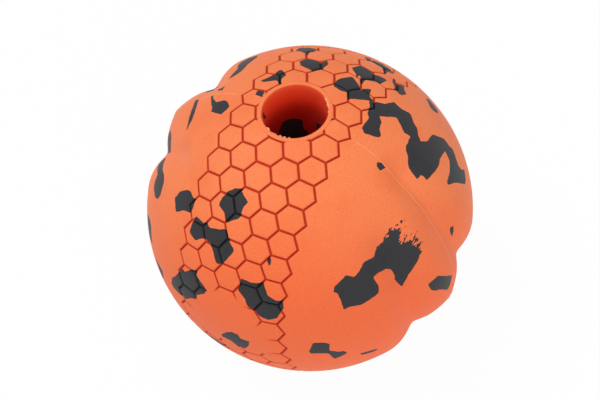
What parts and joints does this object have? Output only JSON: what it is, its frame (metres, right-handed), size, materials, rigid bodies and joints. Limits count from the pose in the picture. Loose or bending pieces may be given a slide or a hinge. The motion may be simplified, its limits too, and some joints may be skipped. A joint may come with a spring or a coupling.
{
  "type": "treat dispensing ball",
  "caption": "Hollow rubber ball that drops treats through a round hole as it rolls, with honeycomb grooves and black chips in its skin.",
  "frame": {"origin": "centre of the ball", "axes": "+Z out of the treat hole along its axis, X across the honeycomb band towards the cheeks, Y across the parting line"},
  "size_m": [0.0801, 0.08, 0.0792],
  "materials": {
    "orange_rubber": "matt moulded natural rubber",
    "black_rubber": "matt black rubber chip"
  },
  "bodies": {
    "root": {"front_half_shell": "orange_rubber", "rear_half_shell": "orange_rubber", "black_chip_01": "black_rubber", "black_chip_02": "black_rubber", "black_chip_03": "black_rubber", "black_chip_04": "black_rubber", "black_chip_05": "black_rubber", "black_chip_06": "black_rubber", "black_chip_07": "black_rubber", "black_chip_08": "black_rubber", "black_chip_09": "black_rubber", "black_chip_10": "black_rubber", "black_chip_11": "black_rubber", "black_chip_12": "black_rubber", "black_chip_13": "black_rubber", "black_chip_14": "black_rubber", "black_chip_15": "black_rubber", "black_chip_16": "black_rubber", "black_chip_17": "black_rubber", "black_chip_18": "black_rubber", "black_chip_19": "black_rubber", "black_chip_20": "black_rubber", "black_chip_21": "black_rubber", "black_chip_22": "black_rubber", "black_chip_23": "black_rubber", "black_chip_24": "black_rubber", "black_chip_25": "black_rubber", "black_chip_26": "black_rubber", "black_chip_27": "black_rubber", "black_chip_28": "black_rubber", "black_chip_29": "black_rubber", "black_chip_30": "black_rubber", "black_chip_31": "black_rubber", "black_chip_32": "black_rubber", "black_chip_33": "black_rubber", "black_chip_34": "black_rubber", "black_chip_35": "black_rubber", "black_chip_36": "black_rubber", "black_chip_37": "black_rubber", "black_chip_38": "black_rubber", "black_chip_39": "black_rubber", "black_chip_40": "black_rubber", "black_chip_41": "black_rubber", "black_chip_42": "black_rubber", "black_chip_43": "black_rubber", "black_chip_44": "black_rubber", "black_chip_45": "black_rubber", "black_chip_46": "black_rubber", "black_chip_47": "black_rubber"}
  },
  "joints": []
}
